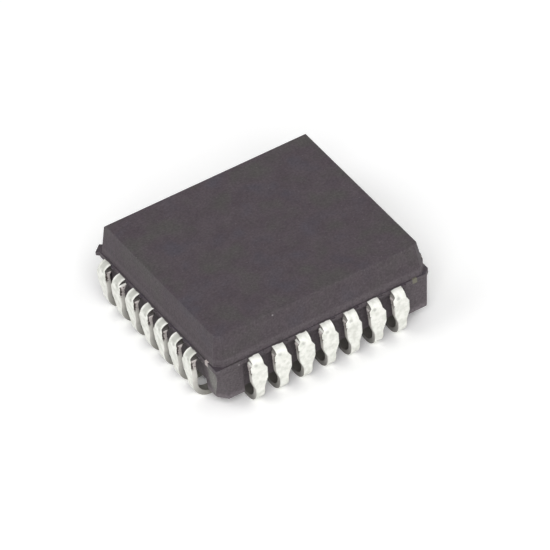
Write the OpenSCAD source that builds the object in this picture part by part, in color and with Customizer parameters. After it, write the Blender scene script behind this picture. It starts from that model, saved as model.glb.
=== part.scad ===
/* [Package outline] */
// Height from the lead feet to the top face
total_height = 4.37; // [4.2:0.01:4.57]
// Gap between the seating plane and the underside of the body
standoff = 0.6; // [0.52:0.01:0.75]
// Height of the top of the lead frame, on which the upper half of the mould closed
parting_height = 2.745; // [2.7:0.005:2.9]
// Width of the body over the band between the mould halves
band_width = 11.51; // [11.43:0.01:11.58]

/* [Moulded body] */
// How far the walls lie inside the band
band_proud = 0.09; // [0.05:0.005:0.12]
// Draft of the upper walls, degrees
upper_draft = 8.5; // [6:0.5:10]
// Draft of the lower walls, degrees
lower_draft = 4; // [2:0.5:7]
// Rounding of the top edges
top_rounding = 0.07; // [0.04:0.01:0.12]
// Flat on each plain corner of the upper half, measured along the wall at the band
corner_flat = 0.36; // [0.2:0.01:0.45]
// Flat on the plain corners of the band, three of the four
band_flat = 0.29; // [0.15:0.01:0.4]
// Flat on each corner post
post_flat = 0.16; // [0.1:0.01:0.3]
// How far in from the band the sloping pin 1 edge starts
bevel_in = 1.42; // [1.2:0.01:1.6]
// Height of the foot of that slope above the band
bevel_foot = 0.285; // [0.2:0.005:0.5]
// Size of the 45 degree corner that keys the package in its socket
key_corner = 1.14; // [1:0.01:1.3]
// Room between the middle of the last lead and the corner post
post_gap = 0.5; // [0.46:0.01:0.6]
// How far the walls behind the leads are set in from the posts
wall_setback = 0.15; // [0.08:0.01:0.2]
// Chamfer round the foot of the body
foot_chamfer = 0.06; // [0.04:0.01:0.12]
// Room between the lead tips and the pad under the middle of the body
tip_room = 0.35; // [0.25:0.01:0.45]
// Room above the lead tips in the trough that they curl into
tip_headroom = 0.4; // [0.3:0.01:0.5]
// Diameter of the ejector pin mark under the pad
ejector_mark = 1.8; // [1.4:0.1:2.4]
// Depth of the ejector pin mark
ejector_depth = 0.05; // [0.02:0.01:0.08]

/* [Flash, gate and wear] */
// Width of the broken gate at the keyed corner
gate_width = 0.6; // [0.4:0.01:0.8]
// How far the broken gate stands proud
gate_reach = 0.21; // [0.1:0.01:0.3]
// Thickness of the broken gate
gate_thickness = 0.2; // [0.1:0.01:0.24]
// How much the break of the gate is askew
gate_skew = 0.06; // [0:0.01:0.09]
// Distance of the gate from the middle of the keyed corner, towards pin 5
gate_shift = 0.5; // [0.3:0.01:0.6]
// Thickness of the flash between the leads
flash_thickness = 0.06; // [0.03:0.01:0.08]
// Greatest reach of the flash past the band
flash_reach = 0.12; // [0.05:0.01:0.14]
// Height of the chip out of the post between pins 11 and 12
chip_height = 1.2; // [0.8:0.05:1.3]
// Length of the chip towards pin 11
chip_length = 0.55; // [0.3:0.05:0.7]
// Length of the chip towards pin 12
chip_width = 0.45; // [0.3:0.05:0.6]

/* [Leads] */
// Distance from one lead to the next
lead_pitch = 1.27; // [1.25:0.01:1.28]
// Thickness of the lead frame strip
lead_thickness = 0.25; // [0.2:0.01:0.27]
// Width of a lead where it leaves the body
neck_width = 0.55; // [0.5:0.01:0.6]
// Straight run of a lead outside the band before it bends down
neck_run = 0.02; // [0.01:0.01:0.06]
// Width of the foot that is soldered
foot_width = 0.46; // [0.4:0.01:0.5]
// Reach of the dam bar stubs on both sides of a lead
stub_reach = 0.14; // [0.1:0.01:0.18]
// Height of the top of the stub on the side where the trim tool cut in
stub_top = 2.5; // [2.4:0.01:2.55]
// Height of the bottom of the stubs
stub_bottom = 1.52; // [1.4:0.01:1.6]
// How much lower the stub on the other side starts
stub_stagger = 0.35; // [0.3:0.01:0.45]
// Height of the sheared slope above that lower stub
shear_slope = 0.25; // [0.1:0.01:0.3]
// Depth of the nick in the higher stub
nick_depth = 0.05; // [0.02:0.01:0.06]
// Distance of the nick below the top of its stub
nick_drop = 0.35; // [0.25:0.01:0.45]
// Height at which a lead has narrowed to its foot
foot_height = 1.02; // [0.9:0.01:1.1]
// Outer radius of the bend at the top
bend_radius = 0.45; // [0.4:0.01:0.5]
// Outer radius of the J curl at the foot
curl_radius = 0.93; // [0.88:0.01:0.98]
// Distance between the lines that the feet of two opposite sides stand on
foot_span = 10.41; // [10.3:0.01:10.5]
// How far the tip curls past the lowest point, degrees
tip_angle = 52; // [40:1:56]

/* [Lead frame inside] */
// Width of the paddle under the die
paddle_width = 4.9; // [4.6:0.05:5]
// How far the paddle is pressed down below the fingers
paddle_downset = 0.25; // [0.2:0.01:0.35]
// Gap between the paddle's edge and the finger tips
finger_gap = 0.3; // [0.25:0.01:0.35]
// Spacing of the finger tips
finger_pitch = 0.72; // [0.68:0.01:0.74]
// Width of a finger tip
finger_width = 0.4; // [0.34:0.01:0.42]
// Length of a finger tip before it turns towards its lead
finger_tip = 0.5; // [0.4:0.01:0.6]
// Length of a lead inside the band before it turns towards its tip
finger_root = 1.15; // [1:0.01:1.25]
// Width of the bars that held the paddle in its frame
tie_width = 0.24; // [0.18:0.01:0.3]
// Gap between the last lead and the tie bar end beside it
tie_gap = 0.65; // [0.55:0.01:0.7]
// Distance of the step in each tie bar from the paddle's corner
tie_step = 0.15; // [0.1:0.01:0.3]

/* [Die and wires] */
// Width of the silicon die
die_width = 3.4; // [3:0.05:3.8]
// Thickness of the die
die_thickness = 0.38; // [0.3:0.01:0.42]
// Thickness of the bonding layer under the die
attach_thickness = 0.03; // [0.02:0.005:0.05]
// How far the bonding layer spreads past the die
attach_spread = 0.08; // [0.04:0.01:0.12]
// Spacing of the bond pads on the die
pad_pitch = 0.4; // [0.34:0.01:0.42]
// Distance of the bond pads from the edge of the die
pad_inset = 0.12; // [0.08:0.01:0.2]
// Diameter of the gold bond wire
wire_diameter = 0.033; // [0.025:0.001:0.04]
// Diameter of the ball that starts each wire
ball_diameter = 0.08; // [0.06:0.005:0.1]
// Height of the ball
ball_height = 0.03; // [0.02:0.005:0.04]
// Straight rise of the wire above its ball
wire_rise = 0.08; // [0.05:0.01:0.15]
// Radius of the wire's turn at the top of its loop
wire_turn = 0.14; // [0.1:0.01:0.18]
// Distance of the wire's far end from the finger tip
stitch_inset = 0.18; // [0.12:0.01:0.25]

/* [Hidden] */
sides = 4;
leads_per_side = 7;
lead_count = sides * leads_per_side;
last_place = (leads_per_side - 1) / 2;
// Pin 1 is in the middle of the +Y side and the numbers run counter-clockwise from above,
// so this pin is the first one along the -Y side.
first_front_pin = 12;

function two_digits(n) = n < 10 ? str("0", n) : str(n);
function lead_name(n) = str("lead_", two_digits(n));
function wire_name(n) = str("bond_wire_", two_digits(n));

$fn = 48;
wire_sides = 6;
turn_steps = 3;
root2 = sqrt(2);
// Scatter of the sheared edges of the dam bar stubs
shear_scatter = 0.02;
// Extra length that carries a cut clear of the face that it goes through
spare = 0.5;

band_half = band_width / 2;
wall_half = band_half - band_proud;
frame_bottom = parting_height - lead_thickness;
upper_rise = total_height - parting_height;
lower_drop = frame_bottom - standoff;

// The broken gate and the flash lie this far below the edge of the band
torn_step = 0.01;
// Least share of its full reach at which a piece of flash has torn off
least_torn = 0.4;

bend_start = band_half + neck_run;
outer_face = bend_start + bend_radius;
foot_line = foot_span / 2;

// Bend and curl of a lead, in (outwards, z), and the shank between them, which leans in
bend_centre = [bend_start, parting_height - bend_radius];
shank = bend_centre - [foot_line, curl_radius];
shank_turn = acos((curl_radius - bend_radius) / norm(shank));
shank_lean = shank_turn - atan2(shank.y, shank.x);
shank_length = norm(shank) * sin(shank_turn);

tip_reach = foot_line - curl_radius * sin(tip_angle);
tip_top = curl_radius - (curl_radius - lead_thickness) * cos(tip_angle);

post_start = last_place * lead_pitch + post_gap;
pad_half = tip_reach - tip_room;
trough_top = tip_top + tip_headroom;

finger_reach = paddle_width / 2 + finger_gap;
paddle_top = parting_height - paddle_downset;
step_start = paddle_width / 2 * root2 + tie_step;
step_end = step_start + paddle_downset;
tie_place = last_place * lead_pitch + (neck_width + tie_width) / 2 + tie_gap;

die_bottom = paddle_top + attach_thickness;
die_top = die_bottom + die_thickness;
pad_reach = die_width / 2 - pad_inset;
stitch_reach = finger_reach + stitch_inset;

// Place of a lead on its side, -3 to 3, and the turn that carries it there from the -Y side
function seat(n) = (n - first_front_pin + lead_count) % lead_count;
function place(n) = seat(n) % leads_per_side - last_place;
function turn(n) = 90 * floor(seat(n) / leads_per_side);

// The trim tools of neighbouring sides were mirror images: 1 where the tool cut in on the side
// of the lower pin numbers, -1 where it cut in on the other
function tool_hand(n) = 1 - 2 * (floor(seat(n) / leads_per_side) % 2);

function polar(r, a) = r * [cos(a), sin(a)];

// Points round a fillet of radius r about a centre, from angle a to angle b
function fillet(centre, r, a, b, steps = 4) =
    [for (i = [0 : steps]) centre + polar(r, a + (b - a) * i / steps)];

// Distance from the middle to a flat across the corner of a square
function corner_reach(half, flat) = (2 * half - flat) / root2;

// Carries a section right through the body. Its walls are lists of (across, z) from the bottom up,
// the first on the side that the angle points to, from +X at 0 degrees to +Y at 90.
module through_body(angle, wall, far_wall) {
    back = len(far_wall) - 1;
    rotate([0, 0, angle]) rotate([90, 0, 0]) linear_extrude(2 * band_width, center = true)
        polygon(concat(wall, [for (i = [0 : back]) [-far_wall[back - i].x, far_wall[back - i].y]]));
}

// Walls, in (outwards, z). The band between the mould halves is as thick as the lead frame.

// From the underside up over the band, for a wall and a band that far from the middle
function lower_wall(half, reach) =
    let (slope = tan(lower_draft))
    [
        [half - lower_drop * slope - foot_chamfer, standoff],
        [half - (lower_drop - foot_chamfer) * slope, standoff + foot_chamfer],
        [half, frame_bottom],
        [reach, frame_bottom],
        [reach, parting_height]
    ];

// From the band up to the rounded edge of the top
function upper_wall(half) =
    let (top_half = half - upper_rise * tan(upper_draft), r = top_rounding)
    concat([[half, parting_height]], fillet([top_half - r, total_height - r], r, upper_draft, 90));

function side_wall() = concat(lower_wall(wall_half, band_half), upper_wall(wall_half));

// The +Y wall, with the long slope that marks the pin 1 side
function bevelled_wall() = concat(
    lower_wall(wall_half, band_half),
    [
        [wall_half, parting_height],
        [wall_half - bevel_foot * tan(upper_draft), parting_height + bevel_foot],
        [band_half - bevel_in, total_height]
    ]
);

// A corner of the body, with these flats across the post, the band and the upper half
function corner_wall(post, band, upper) = concat(
    lower_wall(corner_reach(wall_half, post), corner_reach(band_half, band)),
    upper_wall(corner_reach(wall_half, upper))
);

function key_wall() =
    let (reach = corner_reach(band_half, key_corner))
    concat(lower_wall(reach - band_proud, reach), upper_wall(reach - band_proud));

// Space behind and under the leads of the -Y side, drawn in (outwards, z)
function bay_profile() =
    let (wall = wall_half - wall_setback)
    [
        [pad_half, standoff - spare],
        [band_half + spare, standoff - spare],
        [band_half + spare, frame_bottom],
        [wall, frame_bottom],
        [wall - (frame_bottom - trough_top) * tan(lower_draft), trough_top],
        [pad_half, trough_top]
    ];

// Stands a profile drawn in (outwards, z) up on the -Y side and carries it along X
module along_side(width) {
    rotate([90, 0, -90]) linear_extrude(width, center = true) children();
}

// Everything beyond the plane that cuts these lengths off the X, Y and Z edges of a corner
// whose edges run to +X, +Y and +Z
module broken_corner(along_x, along_y, along_z) {
    normal = [1 / along_x, 1 / along_y, 1 / along_z];
    size = 4 * max(along_x, along_y, along_z);
    rotate([0, acos(normal.z / norm(normal)), atan2(normal.y, normal.x)])
        translate([-size / 2, -size / 2, 1 / norm(normal) - size])
            cube(size);
}

module mould() {
    corner = corner_wall(post_flat, band_flat, corner_flat);
    front_corner = corner_wall(post_flat, 0, corner_flat);
    post_foot = wall_half - lower_drop * tan(lower_draft);
    difference() {
        intersection() {
            through_body(0, side_wall(), side_wall());
            through_body(90, bevelled_wall(), side_wall());
            through_body(45, corner, front_corner);
            through_body(135, key_wall(), corner);
        }
        for (side = [0 : sides - 1])
            rotate(90 * side) along_side(2 * post_start) polygon(bay_profile());
        translate([-post_foot, -post_foot, standoff])
            broken_corner(chip_width, chip_length, chip_height);
        translate([0, 0, standoff - spare])
            cylinder(h = spare + ejector_depth, d = ejector_mark);
    }
}

// Stub of the gate that the compound came in by, broken off askew
module gate() {
    bottom = parting_height - torn_step - gate_thickness;
    rotate(135) translate([corner_reach(band_half, key_corner), gate_shift, bottom])
        linear_extrude(gate_thickness)
            polygon([
                [-spare, -gate_width / 2],
                [gate_reach - gate_skew / 2, -gate_width / 2 + gate_skew / 2],
                [gate_reach, gate_width / 2 - gate_skew / 4],
                [-spare, gate_width / 2]
            ]);
}

// Thin torn flash on the band beside each lead, a little different every time
module flash() {
    room = lead_pitch - neck_width;
    piece = room / 5;
    for (side = [0 : sides - 1], lead = [-last_place : last_place]) {
        torn = flash_reach * rands(least_torn, 1, 3, 10 * side + lead);
        start = lead * lead_pitch + neck_width / 2 + room / 12;
        rotate(90 * side) translate([start, -band_half, parting_height - torn_step - flash_thickness])
            linear_extrude(flash_thickness)
                polygon([
                    [0, spare],
                    [0, -torn[0]],
                    [piece, -torn[1]],
                    [1.5 * piece, -torn[2]],
                    [3 * piece, spare]
                ]);
    }
}

module moulded_body() {
    color("#5a5557")
    difference() {
        difference() {
            union() {
                mould();
                gate();
                flash();
            }
            for (n = [1 : lead_count]) finger(n);
            paddle_and_ties(spare);
            attach_layer();
            silicon();
        }
        for (n = [1 : lead_count]) wire(n);
    }
}

// Leads

// Part of a ring of strip, from angle a to angle b, b no more than 180 degrees on
module strip_arc(outer, a, b) {
    far = 2 * outer;
    intersection() {
        difference() {
            circle(outer);
            circle(outer - lead_thickness);
        }
        polygon([[0, 0], polar(far, a), polar(far, (a + b) / 2), polar(far, b)]);
    }
}

// Side view of a lead outside the body, in (outwards, z)
module lead_side_view() {
    translate(bend_centre) {
        strip_arc(bend_radius, -shank_lean, 90);
        rotate(-shank_lean) {
            translate([bend_radius - lead_thickness, -shank_length])
                square([lead_thickness, shank_length]);
            translate([bend_radius - curl_radius, -shank_length])
                strip_arc(curl_radius, shank_lean - 90 - tip_angle, 0);
        }
    }
}

// Front view of a lead, in (along the side, z), cut in on the left. The dam bar was sheared off
// in the trim tool, so the stubs differ a little from lead to lead. The tool left a ragged edge
// with a nick on the side where it cut in, and a slope above the stub on the other.
module lead_front_view(n) {
    neck = neck_width / 2;
    foot = foot_width / 2;
    shear = rands(-shear_scatter, shear_scatter, 6, n);
    before = neck + stub_reach + shear[0];
    after = neck + stub_reach + shear[1];
    nick = stub_top - nick_drop + shear[4];
    lower_top = stub_top - stub_stagger + shear[2];
    polygon([
        [neck, parting_height + spare],
        [neck, lower_top + shear_slope],
        [after, lower_top],
        [after, stub_bottom + shear[3]],
        [foot, foot_height],
        [foot, -spare],
        [-foot, -spare],
        [-foot, foot_height],
        [-before + nick_depth / 2, stub_bottom + shear[2]],
        [-before, nick - nick_depth],
        [-before + nick_depth, nick],
        [-before - shear_scatter, nick + nick_depth],
        [-before + shear[5], stub_top - nick_depth],
        [-neck, stub_top + nick_depth],
        [-neck, parting_height + spare]
    ]);
}

// The flat part of a lead, from its neck in to the finger that takes the wire
module finger(n) {
    tip = place(n) * finger_pitch;
    root = place(n) * lead_pitch;
    rotate(turn(n)) translate([0, 0, frame_bottom]) linear_extrude(lead_thickness) mirror([0, 1])
        polygon([
            [tip - finger_width / 2, finger_reach],
            [tip + finger_width / 2, finger_reach],
            [tip + finger_width / 2, finger_reach + finger_tip],
            [root + neck_width / 2, band_half - finger_root],
            [root + neck_width / 2, bend_start],
            [root - neck_width / 2, bend_start],
            [root - neck_width / 2, band_half - finger_root],
            [tip - finger_width / 2, finger_reach + finger_tip]
        ]);
}

module lead(n) {
    color("#e6e6e0") {
        finger(n);
        rotate(turn(n)) translate([place(n) * lead_pitch, 0, 0])
            intersection() {
                along_side(2 * lead_pitch) lead_side_view();
                rotate([90, 0, 0]) linear_extrude(outer_face + spare)
                    scale([tool_hand(n), 1]) lead_front_view(n);
            }
    }
}

// Paddle, with the four tie bars that held it in the lead frame

// Outline of the band, which the tie bars end flush with
module band_outline() {
    polygon([
        [-band_half, -band_half],
        [band_half - band_flat, -band_half],
        [band_half, -band_half + band_flat],
        [band_half, band_half - band_flat],
        [band_half - band_flat, band_half],
        [-band_half + key_corner, band_half],
        [-band_half, band_half - key_corner]
    ]);
}

// Plan of the paddle and the roots of its tie bars, below the fingers
module paddle_plan() {
    square(paddle_width, center = true);
    for (side = [0 : sides - 1])
        rotate(45 + 90 * side) translate([0, -tie_width / 2]) square([step_start, tie_width]);
}

// Plan of the tie bars at the fingers' level, out along the diagonals and then square to a side
module tie_plan(past_band) {
    for (side = [0 : sides - 1])
        rotate(90 * side) {
            rotate(225) translate([step_end, -tie_width / 2])
                square([tie_place * root2 - step_end, tie_width]);
            translate([-band_half - past_band, -tie_place - tie_width / 2])
                square([band_half + past_band - tie_place + tie_width / 2, tie_width]);
        }
}

// Side view of the step in a tie bar, in (outwards, z), with a little of the bar at each end
module tie_step_view() {
    bar = tie_width / 2;
    polygon([
        [step_start - bar, paddle_top - lead_thickness],
        [step_start, paddle_top - lead_thickness],
        [step_end, frame_bottom],
        [step_end + bar, frame_bottom],
        [step_end + bar, parting_height],
        [step_end, parting_height],
        [step_start, paddle_top],
        [step_start - bar, paddle_top]
    ]);
}

// The paddle and its tie bars, which end flush with the band or run on past it
module paddle_and_ties(past_band = 0) {
    translate([0, 0, paddle_top - lead_thickness]) linear_extrude(lead_thickness) paddle_plan();
    for (side = [0 : sides - 1])
        rotate(45 + 90 * side) along_side(tie_width) tie_step_view();
    translate([0, 0, frame_bottom]) linear_extrude(lead_thickness)
        intersection() {
            tie_plan(past_band);
            if (past_band == 0) band_outline();
        }
}

module die_paddle() {
    color("#c9a27a") paddle_and_ties();
}

// Die and the layer that bonds it to the paddle

module square_plate(width, from, thickness) {
    translate([-width / 2, -width / 2, from]) cube([width, width, thickness]);
}

module attach_layer() {
    square_plate(die_width + 2 * attach_spread, paddle_top, attach_thickness);
}

module silicon() {
    square_plate(die_width, die_bottom, die_thickness);
}

module die_attach() {
    color("#b8b8b0") attach_layer();
}

module die() {
    color("#4a5260") silicon();
}

// Bond wires

// A wire along +X from a ball on the die to a stitch that far away on a finger. It rises, turns
// over and runs straight down, at a slope that follows from where it has to land. Each ring is
// [x, z, direction of the wire, radius, how much the ring is drawn out along its slope].
function wire_rings(length) =
    let (
        ball = ball_diameter / 2,
        wire = wire_diameter / 2,
        crest = die_top + ball_height + wire_rise,
        fall = crest - parting_height,
        run = length - wire_turn,
        slope = atan2(fall, run) + asin(wire_turn / norm([run, fall]))
    )
    concat(
        [[0, die_top, 90, ball, 1], [0, die_top + ball_height, 90, ball, 1]],
        [[0, die_top + ball_height, 90, wire, 1]],
        [for (i = [0 : turn_steps])
            let (a = 90 - (90 + slope) * i / turn_steps)
            [wire_turn * (1 - sin(a)), crest + wire_turn * cos(a), a, wire, 1]],
        [[length, parting_height, 90, wire, -1 / sin(slope)]]
    );

function ring_point(ring, a) =
    let (across = ring[3] * ring[4] * sin(a), t = ring[2])
    [ring[0] - across * sin(t), ring[3] * cos(a), ring[1] + across * cos(t)];

module wire_loop(length) {
    rings = wire_rings(length);
    last = (len(rings) - 1) * wire_sides;
    corner = [0 : wire_sides - 1];
    polyhedron(
        points = [for (ring = rings, i = corner) ring_point(ring, 360 * (i + 0.5) / wire_sides)],
        faces = concat(
            [[for (i = corner) i], [for (i = corner) last + wire_sides - 1 - i]],
            [for (r = [0 : len(rings) - 2], i = corner)
                let (from = r * wire_sides, next = (i + 1) % wire_sides)
                [from + i, from + wire_sides + i, from + wire_sides + next, from + next]]
        )
    );
}

module wire(n) {
    pad = [place(n) * pad_pitch, -pad_reach];
    stitch = [place(n) * finger_pitch, -stitch_reach];
    across = stitch - pad;
    rotate(turn(n)) translate([pad.x, pad.y, 0]) rotate(atan2(across.y, across.x))
        wire_loop(norm(across));
}

module bond_wire(n) {
    color("#e0b84a") wire(n);
}

moulded_body();
die_paddle();
die_attach();
die();
for (n = [1 : lead_count]) {
    lead(n);
    bond_wire(n);
}
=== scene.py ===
import bpy
import math
from mathutils import Matrix, Vector

mm = 0.001
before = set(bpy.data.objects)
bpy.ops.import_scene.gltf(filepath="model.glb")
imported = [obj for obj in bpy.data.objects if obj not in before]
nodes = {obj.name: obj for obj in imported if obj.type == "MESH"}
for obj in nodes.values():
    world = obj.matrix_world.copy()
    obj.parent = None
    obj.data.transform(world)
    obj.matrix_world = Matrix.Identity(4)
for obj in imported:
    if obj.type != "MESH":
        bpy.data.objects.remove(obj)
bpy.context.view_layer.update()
print("frame loaded:", len(nodes), "pieces")

softDetail = 2.0     # octaves of noise, for soft blots
grainDetail = 3.0    # for an even grain
raggedDetail = 4.0   # for blots with ragged rims
bevelSamples = 6     # rays that look for an edge to round


def linear(hexColour):
    # sRGB hex to the linear values that Blender works in
    parts = [int(hexColour[i:i + 2], 16) / 255 for i in (1, 3, 5)]
    return [c / 12.92 if c <= 0.04045 else ((c + 0.055) / 1.055) ** 2.4 for c in parts] + [1]


def addNode(tree, kind, inputs=None, **settings):
    # one shader node, with its settings, its values and its links
    made = tree.nodes.new("ShaderNode" + kind)
    for name, value in settings.items():
        setattr(made, name, value)
    for name, value in (inputs or {}).items():
        if isinstance(value, bpy.types.Node):
            value = value.outputs[0]
        if isinstance(value, bpy.types.NodeSocket):
            tree.links.new(value, made.inputs[name])
        else:
            made.inputs[name].default_value = value
    return made


def newMaterial(name):
    # a material with an empty tree
    made = bpy.data.materials.new(name)
    made.use_nodes = True
    made.node_tree.nodes.clear()
    return made, made.node_tree


def perMm(size):
    # texture scale for a pattern of that size in millimetres
    return 1 / (size * mm)


def direction(azimuth, elevation):
    # away from the chip: degrees round from straight in front of the -Y side, and degrees up
    around, above = math.radians(azimuth), math.radians(elevation)
    level = math.cos(above)
    return Vector((math.sin(around) * level, -math.cos(around) * level, math.sin(above)))


# Camera

cameraView = {
    "aim": (0.18366, -1.07894, 2.2),  # mm, on the chip
    "distance": 366.247,              # mm, a long macro lens
    "azimuth": -27.3945,
    "elevation": 40.6546,
    "roll": -6.4109,                  # the camera leans this much to its right
    "lens": 523.636,                  # mm
    "sensor": 36,                     # mm
    "clip": (0.01, 20),               # m
}


def addCamera():
    back = direction(cameraView["azimuth"], cameraView["elevation"])
    data = bpy.data.cameras.new("macroCamera")
    data.lens = cameraView["lens"]
    data.sensor_width = cameraView["sensor"]
    data.clip_start, data.clip_end = cameraView["clip"]
    camera = bpy.data.objects.new("macroCamera", data)
    bpy.context.scene.collection.objects.link(camera)
    camera.location = Vector(cameraView["aim"]) * mm + back * cameraView["distance"] * mm
    upright = back.to_track_quat("Z", "Y").to_matrix().to_4x4()
    turned = upright @ Matrix.Rotation(math.radians(cameraView["roll"]), 4, "Z")
    camera.matrix_world = Matrix.Translation(camera.location) @ turned
    bpy.context.scene.camera = camera


addCamera()
print("camera set")

# Studio: a white table in a white room, lit by soft boxes all round, the strongest in front

studio = {
    "tableColour": "#f2f2f0",
    "tableSeen": 1.15,   # the sweep is exposed past white, so only its shadows are drawn
    "tableHalf": 1.5,    # m
    "roomLevel": 0.25,   # the room's light on the chip
    "seenLevel": 1.0,    # the room as it is seen
    "boxes": [
        # name, azimuth, elevation, distance m, side m, light on a surface that faces it
        ("keyBox", -25, 42, 0.5, 0.36, 0.69),
        ("rightBox", 60, 45, 0.5, 0.40, 0.14),
        ("backBox", 150, 60, 0.5, 0.40, 0.08),
        ("leftBox", -112, 48, 0.5, 0.36, 0.26),
    ],
}


def addSeenRays(tree):
    # 1 for what the camera, a reflection or glass sees directly, 0 for the light itself
    path = addNode(tree, "LightPath")
    reflected = addNode(tree, "Math", {
        0: path.outputs["Is Camera Ray"],
        1: path.outputs["Is Glossy Ray"],
    }, operation="MAXIMUM")
    passed = path.outputs["Is Transmission Ray"]
    return addNode(tree, "Math", {0: reflected, 1: passed}, operation="MAXIMUM")


def addRoom():
    world = bpy.data.worlds.new("whiteRoom")
    world.use_nodes = True
    tree = world.node_tree
    tree.nodes.clear()
    level = addNode(tree, "MapRange", {
        "Value": addSeenRays(tree),
        "To Min": studio["roomLevel"],
        "To Max": studio["seenLevel"],
    })
    wall = addNode(tree, "Background", {"Color": (1, 1, 1, 1), "Strength": level})
    addNode(tree, "OutputWorld", {"Surface": wall})
    bpy.context.scene.world = world


def whitePaper():
    # coated paper, rolled out as a sweep: an even matte white without a visible grain
    made, tree = newMaterial("whitePaperSweep")
    seen = studio["tableSeen"]
    colour = addNode(tree, "MixRGB", {
        "Fac": addSeenRays(tree),
        "Color1": linear(studio["tableColour"]),
        "Color2": (seen, seen, seen, 1),
    })
    matte = addNode(tree, "BsdfDiffuse", {"Color": colour})
    addNode(tree, "OutputMaterial", {"Surface": matte})
    return made


def addTable():
    half = studio["tableHalf"]
    corners = [(-half, -half, 0), (half, -half, 0), (half, half, 0), (-half, half, 0)]
    mesh = bpy.data.meshes.new("table")
    mesh.from_pydata(corners, [], [(0, 1, 2, 3)])
    mesh.materials.append(whitePaper())
    table = bpy.data.objects.new("table", mesh)
    bpy.context.scene.collection.objects.link(table)


def addBoxes():
    for name, azimuth, elevation, distance, side, level in studio["boxes"]:
        back = direction(azimuth, elevation)
        data = bpy.data.lights.new(name, "AREA")
        data.shape = "SQUARE"
        data.size = side
        data.energy = level * (math.pi * distance) ** 2  # watts that give this level at the chip
        lamp = bpy.data.objects.new(name, data)
        bpy.context.scene.collection.objects.link(lamp)
        lamp.location = back * distance
        lamp.rotation_euler = back.to_track_quat("Z", "Y").to_euler()


addRoom()
addTable()
addBoxes()
bpy.context.scene.view_settings.view_transform = "Standard"
print("studio built")

# Moulded body: epoxy moulding compound, silica filled, pressed into a spark-eroded mould. The
# mould leaves a fine even grain that keeps the surface dull, and the filler leaves faint
# specks. The drafted sides are painted paler than the top, as painted light, and the underside
# is painted paler too, as painted light in its shade.

compound = {
    # resin
    "dark": "#40373d",
    "light": "#484045",
    "mottle": 0.9,         # mm, patches where the resin flowed
    "darkAt": 0.3,         # level of the patches that is darkest
    "lightAt": 0.7,
    "tint": 1.53,          # mm, patches that lean to green or to blue
    "leanings": [
        # colour, level of those patches where it starts and is full, and its share there
        ("#42453d", 0.5, 0.7, 0.45),
        ("#3d3e49", 0.45, 0.3, 0.35),
    ],

    # sides painted paler than the top as painted light, and the underside painted paler as painted
    # light in its shade
    "sides": "#5a5357",
    "steepFrom": 0.8,      # upward part of the normal
    "steepFull": 0.5,
    "lowFrom": 3.05,       # mm up, the sides below are painted palest, as painted light
    "lowFade": 0.1,        # mm
    "highSideLight": 0.32,
    "lowSideLight": 0.85,
    # the underside painted paler, as painted light in its deep shade
    "under": "#6d666a",
    "underFrom": 1.0,      # mm up
    "underFade": 0.2,      # mm

    # filler
    "speck": "#6b6769",
    "speckSpacing": 0.24,  # mm
    "speckRim": 0.14,      # share of the spacing
    "speckCore": 0.06,
    "speckMost": 0.35,

    # edges, worn in patches, and lighter there also as a painted highlight where they catch the
    # light
    "worn": "#77757a",
    "edge": 0.03,          # mm, radius of the mould's edges
    "edgeFrom": 0.995,     # part of the rounded normal that is along the flat one
    "edgeFull": 0.93,
    "wornFrom": 0.35,      # level of the patches
    "wornFull": 0.65,
    "wornMost": 0.45,

    # a pool of light painted on the -X face of the front post
    "postLight": "#858480",
    "postAt": (-5.62, -5.1, 1.75),  # mm
    "postSize": (0.3, 0.42, 1.0),   # mm
    "postRim": 1.25,       # in those sizes
    "postCore": 0.6,
    "postTurnFrom": -0.8,  # X part of the normal
    "postTurnFull": -0.95,
    "postFrom": 0.3,       # level of the patches
    "postFull": 0.6,
    "postLeast": 0.4,
    "postMost": 0.9,

    # scuffs
    "scuff": "#a19c9e",
    "scuffMost": 0.7,
    "scuffs": [            # mm, and the radius
        (-4.57, -5.755, 2.56, 0.06),
        (-2.43, -5.44, 4.2, 0.06),
        (-5.47, -3.9, 1.9, 0.07),
    ],

    # grain and shine
    "tone": 0.1,           # mm, the grain catches the light in spots of this size
    "toneDepth": 0.55,
    "grain": 0.07,         # mm, the mould's own 0.03 mm drawn coarser so that it shows
    "grainHeight": 0.012,  # mm
    "roughness": 0.62,
    "roughnessSpread": 0.06,
    "ior": 1.5,
    "specular": 0.3,       # the grain shades itself, so it shines less than flat epoxy
}


def resinColour(tree, place, patches):
    colour = addNode(tree, "ValToRGB", {"Fac": patches})
    darkest, lightest = colour.color_ramp.elements
    darkest.position = compound["darkAt"]
    darkest.color = linear(compound["dark"])
    lightest.position = compound["lightAt"]
    lightest.color = linear(compound["light"])
    tint = addNode(tree, "TexNoise", {
        "Vector": place,
        "Scale": perMm(compound["tint"]),
        "Detail": softDetail,
    })
    for leaning, start, full, most in compound["leanings"]:
        share = addNode(tree, "MapRange", {
            "Value": tint,
            "From Min": start,
            "From Max": full,
            "To Max": most,
        })
        colour = addNode(tree, "MixRGB", {
            "Fac": share,
            "Color1": colour,
            "Color2": linear(leaning),
        })
    return colour


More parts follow.
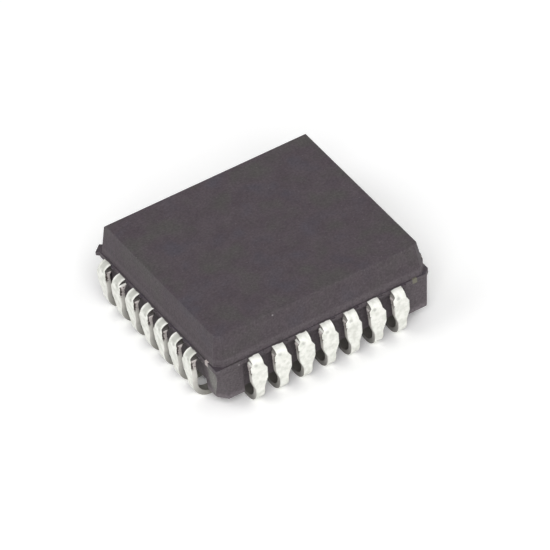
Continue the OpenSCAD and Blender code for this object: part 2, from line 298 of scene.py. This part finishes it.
def sidesPaintedLight(tree, normal, up, colour):
    # the drafted sides painted paler than the top as painted light, palest below lowFrom, and the
    # underside painted paler as painted light in its shade
    upwards = addNode(tree, "SeparateXYZ", {"Vector": normal}).outputs["Z"]
    slope = addNode(tree, "Math", {0: upwards}, operation="ABSOLUTE")
    steep = addNode(tree, "MapRange", {
        "Value": slope,
        "From Min": compound["steepFrom"],
        "From Max": compound["steepFull"],
    })
    height = addNode(tree, "MapRange", {
        "Value": up,
        "From Min": (compound["lowFrom"] + compound["lowFade"]) * mm,
        "From Max": compound["lowFrom"] * mm,
        "To Min": compound["highSideLight"],
        "To Max": compound["lowSideLight"],
    })
    share = addNode(tree, "Math", {0: steep, 1: height}, operation="MULTIPLY")
    paintedTone = addNode(tree, "MixRGB", {
        "Fac": share,
        "Color1": colour,
        "Color2": linear(compound["sides"]),
    })
    # painted light: the underside painted paler where only shade falls
    underShare = addNode(tree, "MapRange", {
        "Value": up,
        "From Min": compound["underFrom"] * mm,
        "From Max": (compound["underFrom"] - compound["underFade"]) * mm,
    })
    return addNode(tree, "MixRGB", {
        "Fac": underShare,
        "Color1": paintedTone,
        "Color2": linear(compound["under"]),
    })


def fillerSpecks(tree, place, colour):
    # grains of filler that lie open
    dots = addNode(tree, "TexVoronoi", {
        "Vector": place,
        "Scale": perMm(compound["speckSpacing"]),
    })
    share = addNode(tree, "MapRange", {
        "Value": dots.outputs["Distance"],
        "From Min": compound["speckRim"],
        "From Max": compound["speckCore"],
        "To Max": compound["speckMost"],
    })
    return addNode(tree, "MixRGB", {
        "Fac": share,
        "Color1": colour,
        "Color2": linear(compound["speck"]),
    })


def wornEdges(tree, patches, flat, rounded, colour):
    # edges partly worn and partly given a painted highlight, paler in patches
    along = addNode(tree, "VectorMath", {0: rounded, 1: flat}, operation="DOT_PRODUCT")
    onEdge = addNode(tree, "MapRange", {
        "Value": along.outputs["Value"],
        "From Min": compound["edgeFrom"],
        "From Max": compound["edgeFull"],
    })
    patchShare = addNode(tree, "MapRange", {
        "Value": patches,
        "From Min": compound["wornFrom"],
        "From Max": compound["wornFull"],
        "To Max": compound["wornMost"],
    })
    share = addNode(tree, "Math", {0: onEdge, 1: patchShare}, operation="MULTIPLY")
    return addNode(tree, "MixRGB", {
        "Fac": share,
        "Color1": colour,
        "Color2": linear(compound["worn"]),
    })


def postFacePaintedLight(tree, place, patches, flat, colour):
    # painted light: a pale patch on the -X face of the front post, in patches
    middle = [value * mm for value in compound["postAt"]]
    sizes = [perMm(size) for size in compound["postSize"]]
    away = addNode(tree, "VectorMath", {0: place, 1: middle}, operation="SUBTRACT")
    inSizes = addNode(tree, "VectorMath", {0: away, 1: sizes}, operation="MULTIPLY")
    distance = addNode(tree, "VectorMath", {0: inSizes}, operation="LENGTH")
    near = addNode(tree, "MapRange", {
        "Value": distance.outputs["Value"],
        "From Min": compound["postRim"],
        "From Max": compound["postCore"],
    })
    turned = addNode(tree, "MapRange", {
        "Value": addNode(tree, "SeparateXYZ", {"Vector": flat}).outputs["X"],
        "From Min": compound["postTurnFrom"],
        "From Max": compound["postTurnFull"],
    })
    patchShare = addNode(tree, "MapRange", {
        "Value": patches,
        "From Min": compound["postFrom"],
        "From Max": compound["postFull"],
        "To Min": compound["postLeast"],
        "To Max": compound["postMost"],
    })
    onFace = addNode(tree, "Math", {0: near, 1: turned}, operation="MULTIPLY")
    share = addNode(tree, "Math", {0: onFace, 1: patchShare}, operation="MULTIPLY")
    return addNode(tree, "MixRGB", {
        "Fac": share,
        "Color1": colour,
        "Color2": linear(compound["postLight"]),
    })


def paleScuffs(tree, place, colour):
    for x, y, z, radius in compound["scuffs"]:
        middle = (x * mm, y * mm, z * mm)
        away = addNode(tree, "VectorMath", {0: place, 1: middle}, operation="DISTANCE")
        share = addNode(tree, "MapRange", {
            "Value": away.outputs["Value"],
            "From Min": radius * mm,
            "From Max": radius * mm / 3,  # full over the inner third
            "To Max": compound["scuffMost"],
        })
        colour = addNode(tree, "MixRGB", {
            "Fac": share,
            "Color1": colour,
            "Color2": linear(compound["scuff"]),
        })
    return colour


def grainTone(tree, place, colour):
    # lighter and darker spots, where the grain faces the light or turns away
    spots = addNode(tree, "TexNoise", {
        "Vector": place,
        "Scale": perMm(compound["tone"]),
        "Detail": softDetail,
    })
    tone = addNode(tree, "MapRange", {
        "Value": spots,
        "To Min": 1 - compound["toneDepth"],
        "To Max": 1 + compound["toneDepth"],
    })
    return addNode(tree, "VectorMath", {0: colour, "Scale": tone}, operation="SCALE")


def mouldingCompound():
    made, tree = newMaterial("epoxyMouldingCompound")
    coordinates = addNode(tree, "TexCoord")
    place = coordinates.outputs["Object"]
    up = addNode(tree, "SeparateXYZ", {"Vector": place}).outputs["Z"]
    flat = addNode(tree, "NewGeometry").outputs["Normal"]
    rounded = addNode(tree, "Bevel", {"Radius": compound["edge"] * mm}, samples=bevelSamples)
    patches = addNode(tree, "TexNoise", {
        "Vector": place,
        "Scale": perMm(compound["mottle"]),
        "Detail": raggedDetail,
    })
    grain = addNode(tree, "TexNoise", {
        "Vector": place,
        "Scale": perMm(compound["grain"]),
        "Detail": grainDetail,
    })

    colour = resinColour(tree, place, patches)
    colour = sidesPaintedLight(tree, coordinates.outputs["Normal"], up, colour)
    colour = fillerSpecks(tree, place, colour)
    colour = wornEdges(tree, patches, flat, rounded, colour)
    colour = postFacePaintedLight(tree, place, patches, flat, colour)
    colour = paleScuffs(tree, place, colour)
    colour = grainTone(tree, place, colour)

    height = addNode(tree, "Math", {
        0: grain,
        1: compound["grainHeight"] * mm,
    }, operation="MULTIPLY")
    bump = addNode(tree, "Bump", {
        "Height": height,
        "Distance": 1.0,
        "Strength": 1.0,
        "Normal": rounded,
    })
    roughness = addNode(tree, "MapRange", {
        "Value": grain,
        "To Min": compound["roughness"] - compound["roughnessSpread"],
        "To Max": compound["roughness"] + compound["roughnessSpread"],
    })
    surface = addNode(tree, "BsdfPrincipled", {
        "Base Color": colour,
        "Roughness": roughness,
        "IOR": compound["ior"],
        "Specular IOR Level": compound["specular"],
        "Normal": bump,
    })
    addNode(tree, "OutputMaterial", {"Surface": surface})
    return made


# Leads: strip of copper alloy, plated with matte tin, then stamped, trimmed and bent. The tin
# gives the outer side a soft near-white with faint grey patches, and the middle of the crowns
# is painted grey as painted shade. The cut edges are duller, and painted darker down and inside
# the curl and under the crown, as painted shade. The sheared ends of the stubs are torn next to
# the outer side and burnished behind it, the torn metal painted darker on the X sides as painted
# shade. A ragged dark band is painted at the root of each lead, as painted shade where it meets
# the body.

tin = {
    # the lead's shape
    "pitch": 1.27,             # mm, from lead to lead
    "outerFace": 6.22,         # mm from the middle to the outer side at the top
    "stubFrom": 0.355,         # mm from the middle line of a lead, past which only stubs reach

    # plating
    "bright": "#f8f8f2",
    "dull": "#e0e1d9",
    "patch": 0.28,             # mm, patches in the plating
    "dullAt": 0.35,            # level of the patches that is dullest
    "brightAt": 0.6,
    "crystal": 0.05,           # mm, the tin's crystals, drawn coarser than their 0.005 mm
    "crystalHeight": 0.006,    # mm
    "roughness": 0.5,
    "roughnessSpread": 0.1,
    "metal": 0.2,              # the crystals scatter the rest of the light evenly
    "rolledEdge": 0.05,        # mm, radius of the strip's edges

    # which faces are the outer side
    "outerZone": 5.4,          # mm from the middle, outside which the outer side faces outwards
    "crownZone": 2.0,          # mm up, above which it faces up
    "footZone": 0.3,           # mm up, below which it faces down
    "facingOut": 0.1,          # part of the normal in each of those directions
    "facingUp": 0.2,
    "facingDown": -0.3,
    "notCutFrom": 0.7,         # square of the part of the normal in the plane of the bend

    # middle of the crown painted grey as painted shade, far more on the X sides
    "paintedTone": "#adaea6",
    "crownShadeFrom": 2.44,        # mm up, where the crown turns to face up
    "crownShadeRise": 0.15,        # mm
    "crownShadeHalf": 0.17,        # mm, half the width of the rubbed middle
    "crownShadeFade": 0.06,        # mm
    "crownShadeMost": 0.75,
    "crownShadeOnY": 0.04,         # on the Y sides, as a share of the X sides

    # the bending tool's mark under the crown
    "toolMark": "#8f8f89",
    "markAt": (-0.13, 2.47),   # mm, across the lead and up
    "markSize": (0.1, 0.07),   # mm
    "markRim": 1.4,            # in those sizes
    "markCore": 0.4,
    "markMost": 0.5,
    "markDepth": 0.012,        # mm

    # cut edges, with a colour for the X sides and one for the Y sides, painted darker down the
    # curl, inside it and under the crown as painted shade
    "cutEdge": "#e6e4de",
    "lowEdge": ("#8e8c86", "#7c7a75"),    # down the curl
    "lowEdgeFrom": 1.3,                   # mm up, down to the table
    "innerEdge": ("#98968f", "#73706b"),  # inside the curl
    "innerTo": 5.5,                       # mm from the middle
    "outerFrom": 6.1,
    "crownEdge": ("#4d4947", "#94918c"),
    "crownEdgeFrom": 2.3,      # mm up
    "crownEdgeFade": 0.1,      # mm

    # sheared ends of the stubs
    "burnished": "#cac3c0",
    # torn metal for the X sides and the Y sides, the darker X one painted shade
    "torn": ("#4d4441", "#827e79"),
    "tear": 0.11,              # mm, length of the torn patches
    "tornTo": 0.07,            # mm deep, torn as far as this
    "burnishedFrom": 0.13,     # mm deep, burnished from here on
    "tornLevel": 0.3,          # level of the noise above which the metal is torn
    "burnishedLevel": 0.64,
    "tearFrom": -0.03,         # above that level
    "tearFull": 0.05,
    "shearedFrom": 2.0,        # mm up, above which the stubs show the shear
    "shearedFade": 0.1,        # mm

    # dark band painted at the root, as painted shade where the lead meets the body
    "rootShadeColour": "#4a4447",
    "rootShadeRag": 0.16,          # mm
    "rootShadeFull": 5.84,         # mm from the middle, with the rag added
    "rootShadeEnd": 5.88,
    "rootShadeFrom": 2.3,          # mm up
}


def sideOf(tree, place):
    # how far out from the chip's middle, and 1 on the sides that face along X
    split = addNode(tree, "SeparateXYZ", {"Vector": place})
    farX = addNode(tree, "Math", {0: split.outputs["X"]}, operation="ABSOLUTE")
    farY = addNode(tree, "Math", {0: split.outputs["Y"]}, operation="ABSOLUTE")
    out = addNode(tree, "Math", {0: farX, 1: farY}, operation="MAXIMUM")
    onSideY = addNode(tree, "Math", {0: farY, 1: farX}, operation="GREATER_THAN")
    onSideX = addNode(tree, "Math", {0: 1, 1: onSideY}, operation="SUBTRACT")
    return out, onSideX


def bySide(tree, onSideX, colours):
    # the first colour on the sides that face along X, the second on the others
    onX, onY = colours
    return addNode(tree, "MixRGB", {
        "Fac": onSideX,
        "Color1": linear(onY),
        "Color2": linear(onX),
    })


def leadSpot(tree):
    # where a point is on its lead
    coordinates = addNode(tree, "TexCoord")
    place = coordinates.outputs["Object"]
    out, onSideX = sideOf(tree, place)
    split = addNode(tree, "SeparateXYZ", {"Vector": place})
    along = addNode(tree, "Mix", {
        "Factor": onSideX,
        "A": split.outputs["X"],
        "B": split.outputs["Y"],
    })
    pitch = tin["pitch"] * mm
    shifted = addNode(tree, "Math", {0: along, 1: pitch / 2}, operation="ADD")
    folded = addNode(tree, "Math", {0: shifted, 1: pitch}, operation="FLOORED_MODULO")
    across = addNode(tree, "Math", {0: folded, 1: pitch / 2}, operation="SUBTRACT")
    offMiddle = addNode(tree, "Math", {0: across}, operation="ABSOLUTE")
    stubFrom = tin["stubFrom"] * mm
    onStub = addNode(tree, "Math", {0: offMiddle, 1: stubFrom}, operation="GREATER_THAN")
    return {
        "place": place,
        "normal": coordinates.outputs["Normal"],
        "out": out,
        "up": split.outputs["Z"],
        "across": across,        # from the lead's middle line
        "offMiddle": offMiddle,
        "onSideX": onSideX,      # 1 on the sides that face along X
        "onStub": onStub,        # 1 on a stub
    }


def outerSide(tree, spot):
    # 1 on the outer side of the strip, 0 on its cut edges and its inner side
    out, up, onSideX, normal = spot["out"], spot["up"], spot["onSideX"], spot["normal"]
    onSideY = addNode(tree, "Math", {0: 1, 1: onSideX}, operation="SUBTRACT")
    sides = addNode(tree, "CombineXYZ", {"X": onSideX, "Y": onSideY})
    level = addNode(tree, "VectorMath", {0: spot["place"], 1: sides}, operation="MULTIPLY")
    turned = addNode(tree, "VectorMath", {0: normal, 1: level}, operation="DOT_PRODUCT")
    outwards = addNode(tree, "Math", {0: turned.outputs["Value"], 1: out}, operation="DIVIDE")
    upwards = addNode(tree, "SeparateXYZ", {"Vector": normal}).outputs["Z"]

    outSquared = addNode(tree, "Math", {0: outwards, 1: outwards}, operation="MULTIPLY")
    bothSquared = addNode(tree, "Math", {
        0: upwards,
        1: upwards,
        2: outSquared,
    }, operation="MULTIPLY_ADD")
    notCut = addNode(tree, "Math", {0: bothSquared, 1: tin["notCutFrom"]}, operation="GREATER_THAN")

    facesOut = addNode(tree, "Math", {0: outwards, 1: tin["facingOut"]}, operation="GREATER_THAN")
    outside = addNode(tree, "Math", {0: out, 1: tin["outerZone"] * mm}, operation="GREATER_THAN")
    shank = addNode(tree, "Math", {0: facesOut, 1: outside}, operation="MULTIPLY")
    facesUp = addNode(tree, "Math", {0: upwards, 1: tin["facingUp"]}, operation="GREATER_THAN")
    high = addNode(tree, "Math", {0: up, 1: tin["crownZone"] * mm}, operation="GREATER_THAN")
    highUp = addNode(tree, "Math", {0: facesUp, 1: high}, operation="MULTIPLY")
    crown = addNode(tree, "Math", {0: highUp, 1: spot["onStub"]}, operation="GREATER_THAN")
    facesDown = addNode(tree, "Math", {0: upwards, 1: tin["facingDown"]}, operation="LESS_THAN")
    low = addNode(tree, "Math", {0: up, 1: tin["footZone"] * mm}, operation="LESS_THAN")
    foot = addNode(tree, "Math", {0: facesDown, 1: low}, operation="MULTIPLY")
    upper = addNode(tree, "Math", {0: shank, 1: crown}, operation="MAXIMUM")
    whole = addNode(tree, "Math", {0: upper, 1: foot}, operation="MAXIMUM")
    return addNode(tree, "Math", {0: whole, 1: notCut}, operation="MULTIPLY")


def platedSkin(tree, spot, patches, mark):
    # the plating, with the middle of the crown painted grey as painted shade, far more on the X
    # sides than on the Y sides, and with the tool's mark
    plated = addNode(tree, "ValToRGB", {"Fac": patches})
    dullest, brightest = plated.color_ramp.elements
    dullest.position = tin["dullAt"]
    dullest.color = linear(tin["dull"])
    brightest.position = tin["brightAt"]
    brightest.color = linear(tin["bright"])
    middle = addNode(tree, "MapRange", {
        "Value": spot["offMiddle"],
        "From Min": (tin["crownShadeHalf"] + tin["crownShadeFade"]) * mm,
        "From Max": (tin["crownShadeHalf"] - tin["crownShadeFade"]) * mm,
    })
    high = addNode(tree, "MapRange", {
        "Value": spot["up"],
        "From Min": tin["crownShadeFrom"] * mm,
        "From Max": (tin["crownShadeFrom"] + tin["crownShadeRise"]) * mm,
        "To Max": tin["crownShadeMost"],
    })
    onSide = addNode(tree, "MapRange", {"Value": spot["onSideX"], "To Min": tin["crownShadeOnY"]})
    here = addNode(tree, "Math", {0: middle, 1: high}, operation="MULTIPLY")
    share = addNode(tree, "Math", {0: here, 1: onSide}, operation="MULTIPLY")
    paintedTone = addNode(tree, "MixRGB", {
        "Fac": share,
        "Color1": plated,
        "Color2": linear(tin["paintedTone"]),
    })
    return addNode(tree, "MixRGB", {
        "Fac": mark,
        "Color1": paintedTone,
        "Color2": linear(tin["toolMark"]),
    })


def toolMark(tree, spot, crystals):
    # 0 to its most on the tool's mark, with a rim broken up by the crystals
    here = addNode(tree, "CombineXYZ", {"X": spot["across"], "Y": spot["up"]})
    middle = [value * mm for value in tin["markAt"]] + [0]
    sizes = [perMm(size) for size in tin["markSize"]] + [0]
    away = addNode(tree, "VectorMath", {0: here, 1: middle}, operation="SUBTRACT")
    inSizes = addNode(tree, "VectorMath", {0: away, 1: sizes}, operation="MULTIPLY")
    rag = addNode(tree, "VectorMath", {
        0: crystals.outputs["Color"],
        1: (0.5, 0.5, 0.5),  # the mean of the noise
    }, operation="SUBTRACT")
    ragged = addNode(tree, "VectorMath", {0: inSizes, 1: rag}, operation="ADD")
    distance = addNode(tree, "VectorMath", {0: ragged}, operation="LENGTH")
    return addNode(tree, "MapRange", {
        "Value": distance.outputs["Value"],
        "From Min": tin["markRim"],
        "From Max": tin["markCore"],
        "To Max": tin["markMost"],
    })


def shearedEnds(tree, spot):
    # torn next to the outer side and burnished further in, the torn metal painted darker on the X
    # sides as painted shade
    depth = addNode(tree, "Math", {
        0: tin["outerFace"] * mm,
        1: spot["out"],
    }, operation="SUBTRACT")
    tears = addNode(tree, "TexNoise", {
        "Vector": spot["place"],
        "Scale": perMm(tin["tear"]),
        "Detail": softDetail,
    })
    level = addNode(tree, "MapRange", {
        "Value": depth,
        "From Min": tin["tornTo"] * mm,
        "From Max": tin["burnishedFrom"] * mm,
        "To Min": tin["tornLevel"],
        "To Max": tin["burnishedLevel"],
    })
    above = addNode(tree, "Math", {0: tears, 1: level}, operation="SUBTRACT")
    share = addNode(tree, "MapRange", {
        "Value": above,
        "From Min": tin["tearFrom"],
        "From Max": tin["tearFull"],
    })
    return addNode(tree, "MixRGB", {
        "Fac": share,
        "Color1": linear(tin["burnished"]),
        "Color2": bySide(tree, spot["onSideX"], tin["torn"]),
    })


def cutEdges(tree, spot):
    # what the stamping tool cut, and the inner side: painted darker down the curl to the table,
    # inside the curl and under the crown, as painted shade
    onSideX = spot["onSideX"]
    lowShare = addNode(tree, "MapRange", {
        "Value": spot["up"],
        "From Min": tin["lowEdgeFrom"] * mm,
        "From Max": 0.0,
    })
    outer = addNode(tree, "MixRGB", {
        "Fac": lowShare,
        "Color1": linear(tin["cutEdge"]),
        "Color2": bySide(tree, onSideX, tin["lowEdge"]),
    })
    outerShare = addNode(tree, "MapRange", {
        "Value": spot["out"],
        "From Min": tin["innerTo"] * mm,
        "From Max": tin["outerFrom"] * mm,
    })
    lower = addNode(tree, "MixRGB", {
        "Fac": outerShare,
        "Color1": bySide(tree, onSideX, tin["innerEdge"]),
        "Color2": outer,
    })
    crownShare = addNode(tree, "MapRange", {
        "Value": spot["up"],
        "From Min": (tin["crownEdgeFrom"] - tin["crownEdgeFade"]) * mm,
        "From Max": (tin["crownEdgeFrom"] + tin["crownEdgeFade"]) * mm,
    })
    return addNode(tree, "MixRGB", {
        "Fac": crownShare,
        "Color1": lower,
        "Color2": bySide(tree, onSideX, tin["crownEdge"]),
    })


def cutSurfaces(tree, spot):
    # everything that isn't the outer side: the cut edges, and on the stubs the shear
    high = addNode(tree, "MapRange", {
        "Value": spot["up"],
        "From Min": (tin["shearedFrom"] - tin["shearedFade"]) * mm,
        "From Max": (tin["shearedFrom"] + tin["shearedFade"]) * mm,
    })
    share = addNode(tree, "Math", {0: spot["onStub"], 1: high}, operation="MULTIPLY")
    return addNode(tree, "MixRGB", {
        "Fac": share,
        "Color1": cutEdges(tree, spot),
        "Color2": shearedEnds(tree, spot),
    })


def rootPaintedShade(tree, spot, patches, colour):
    # the painted shade at the root ends in a ragged line
    ragged = addNode(tree, "Math", {
        0: patches,
        1: tin["rootShadeRag"] * mm,
        2: spot["out"],
    }, operation="MULTIPLY_ADD")
    near = addNode(tree, "MapRange", {
        "Value": ragged,
        "From Min": tin["rootShadeEnd"] * mm,
        "From Max": tin["rootShadeFull"] * mm,
    })
    rootShadeFrom = tin["rootShadeFrom"] * mm
    high = addNode(tree, "Math", {0: spot["up"], 1: rootShadeFrom}, operation="GREATER_THAN")
    share = addNode(tree, "Math", {0: near, 1: high}, operation="MULTIPLY")
    return addNode(tree, "MixRGB", {
        "Fac": share,
        "Color1": colour,
        "Color2": linear(tin["rootShadeColour"]),
    })


def platedRelief(tree, crystals, mark):
    # rounded edges, the tin's crystals and the dent of the tool's mark
    grain = addNode(tree, "Math", {
        0: crystals,
        1: tin["crystalHeight"] * mm,
    }, operation="MULTIPLY")
    height = addNode(tree, "Math", {
        0: mark,
        1: -tin["markDepth"] * mm,
        2: grain,
    }, operation="MULTIPLY_ADD")
    rounded = addNode(tree, "Bevel", {"Radius": tin["rolledEdge"] * mm}, samples=bevelSamples)
    return addNode(tree, "Bump", {
        "Height": height,
        "Distance": 1.0,
        "Strength": 1.0,
        "Normal": rounded,
    })


def matteTin():
    made, tree = newMaterial("matteTinPlate")
    spot = leadSpot(tree)
    patches = addNode(tree, "TexNoise", {
        "Vector": spot["place"],
        "Scale": perMm(tin["patch"]),
        "Detail": raggedDetail,
    })
    crystals = addNode(tree, "TexNoise", {
        "Vector": spot["place"],
        "Scale": perMm(tin["crystal"]),
        "Detail": grainDetail,
    })
    mark = toolMark(tree, spot, crystals)
    metal = addNode(tree, "MixRGB", {
        "Fac": outerSide(tree, spot),
        "Color1": cutSurfaces(tree, spot),
        "Color2": platedSkin(tree, spot, patches, mark),
    })
    roughness = addNode(tree, "MapRange", {
        "Value": patches,
        "To Min": tin["roughness"] + tin["roughnessSpread"],
        "To Max": tin["roughness"] - tin["roughnessSpread"],
    })
    surface = addNode(tree, "BsdfPrincipled", {
        "Base Color": rootPaintedShade(tree, spot, patches, metal),
        "Metallic": tin["metal"],
        "Roughness": roughness,
        "Normal": platedRelief(tree, crystals, mark),
    })
    addNode(tree, "OutputMaterial", {"Surface": surface})
    return made


# Die paddle: bare copper alloy strip, rolled, then stamped. The rolling leaves it a dull warm
# brown. The ends of its tie bars, which show beside the end leads, are bright sheared metal
# along X, and painted dark along Y as painted shade.

paddle = {
    "strip": "#8b7d6c",
    "ends": ("#bdb3b0", "#6d6a5c"),   # along X and along Y, the dark Y one painted shade
    "endFrom": 5.6,            # mm from the middle
    "rolling": 0.2,            # mm, marks of the rolls
    "smoothest": 0.47,
    "roughest": 0.63,
}


def rolledStrip():
    made, tree = newMaterial("rolledCopperAlloy")
    place = addNode(tree, "TexCoord").outputs["Object"]
    out, onSideX = sideOf(tree, place)
    onEnd = addNode(tree, "Math", {0: out, 1: paddle["endFrom"] * mm}, operation="GREATER_THAN")
    colour = addNode(tree, "MixRGB", {
        "Fac": onEnd,
        "Color1": linear(paddle["strip"]),
        "Color2": bySide(tree, onSideX, paddle["ends"]),
    })
    rolling = addNode(tree, "TexNoise", {
        "Vector": place,
        "Scale": perMm(paddle["rolling"]),
        "Detail": grainDetail,
    })
    roughness = addNode(tree, "MapRange", {
        "Value": rolling,
        "To Min": paddle["smoothest"],
        "To Max": paddle["roughest"],
    })
    surface = addNode(tree, "BsdfPrincipled", {
        "Base Color": colour,
        "Metallic": addNode(tree, "Math", {0: 1.0, 1: onEnd}, operation="SUBTRACT"),
        "Roughness": roughness,
    })
    addNode(tree, "OutputMaterial", {"Surface": surface})
    return made


# Die attach: epoxy filled with silver flakes and cured, which leaves it a dull speckled grey

attach = {
    "flake": "#a9a9a4",
    "resin": "#7d7d79",
    "flakeSize": 0.03,         # mm
    "metal": 0.6,
    "roughness": 0.5,
}


def filledEpoxy():
    made, tree = newMaterial("silverFilledEpoxy")
    flakes = addNode(tree, "TexVoronoi", {
        "Vector": addNode(tree, "TexCoord").outputs["Object"],
        "Scale": perMm(attach["flakeSize"]),
    })
    shade = addNode(tree, "MixRGB", {
        "Fac": flakes.outputs["Distance"],
        "Color1": linear(attach["flake"]),
        "Color2": linear(attach["resin"]),
    })
    surface = addNode(tree, "BsdfPrincipled", {
        "Base Color": shade,
        "Metallic": attach["metal"],
        "Roughness": attach["roughness"],
    })
    addNode(tree, "OutputMaterial", {"Surface": surface})
    return made


# Die: polished silicon, with blocks of circuits under a clear glassy layer that gives it a
# sharp shine

die = {
    "silicon": "#3a414d",
    "block": "#4a4a5c",
    "track": "#8a8d92",
    "blockSize": 0.4,          # mm
    "roughness": 0.15,
    "ior": 1.46,               # of the layer of oxide
}


def passivatedSilicon():
    made, tree = newMaterial("passivatedSilicon")
    blocks = addNode(tree, "TexBrick", {
        "Vector": addNode(tree, "TexCoord").outputs["Object"],
        "Scale": perMm(die["blockSize"]),
        "Color1": linear(die["silicon"]),
        "Color2": linear(die["block"]),
        "Mortar": linear(die["track"]),
    })
    surface = addNode(tree, "BsdfPrincipled", {
        "Base Color": blocks,
        "Roughness": die["roughness"],
        "IOR": die["ior"],
    })
    addNode(tree, "OutputMaterial", {"Surface": surface})
    return made


# Bond wires: gold drawn down to a fine wire, which leaves it bright and smooth

wire = {
    "gold": "#e3b85a",
    "drawing": 0.02,           # mm, marks of the drawing
    "roughness": 0.2,
    "roughnessSpread": 0.08,
}


def drawnGold():
    made, tree = newMaterial("drawnGold")
    marks = addNode(tree, "TexNoise", {
        "Vector": addNode(tree, "TexCoord").outputs["Object"],
        "Scale": perMm(wire["drawing"]),
        "Detail": grainDetail,
    })
    roughness = addNode(tree, "MapRange", {
        "Value": marks,
        "To Min": wire["roughness"] - wire["roughnessSpread"],
        "To Max": wire["roughness"] + wire["roughnessSpread"],
    })
    surface = addNode(tree, "BsdfPrincipled", {
        "Base Color": linear(wire["gold"]),
        "Metallic": 1.0,
        "Roughness": roughness,
    })
    addNode(tree, "OutputMaterial", {"Surface": surface})
    return made


def dress(piece, material):
    piece.data.materials.clear()
    piece.data.materials.append(material)


dress(nodes["moulded_body"], mouldingCompound())
dress(nodes["die_paddle"], rolledStrip())
dress(nodes["die_attach"], filledEpoxy())
dress(nodes["die"], passivatedSilicon())
leadFinish = matteTin()
wireFinish = drawnGold()
for name, piece in nodes.items():
    if name.startswith("lead_"):
        dress(piece, leadFinish)
    if name.startswith("bond_wire_"):
        dress(piece, wireFinish)
print("materials set")
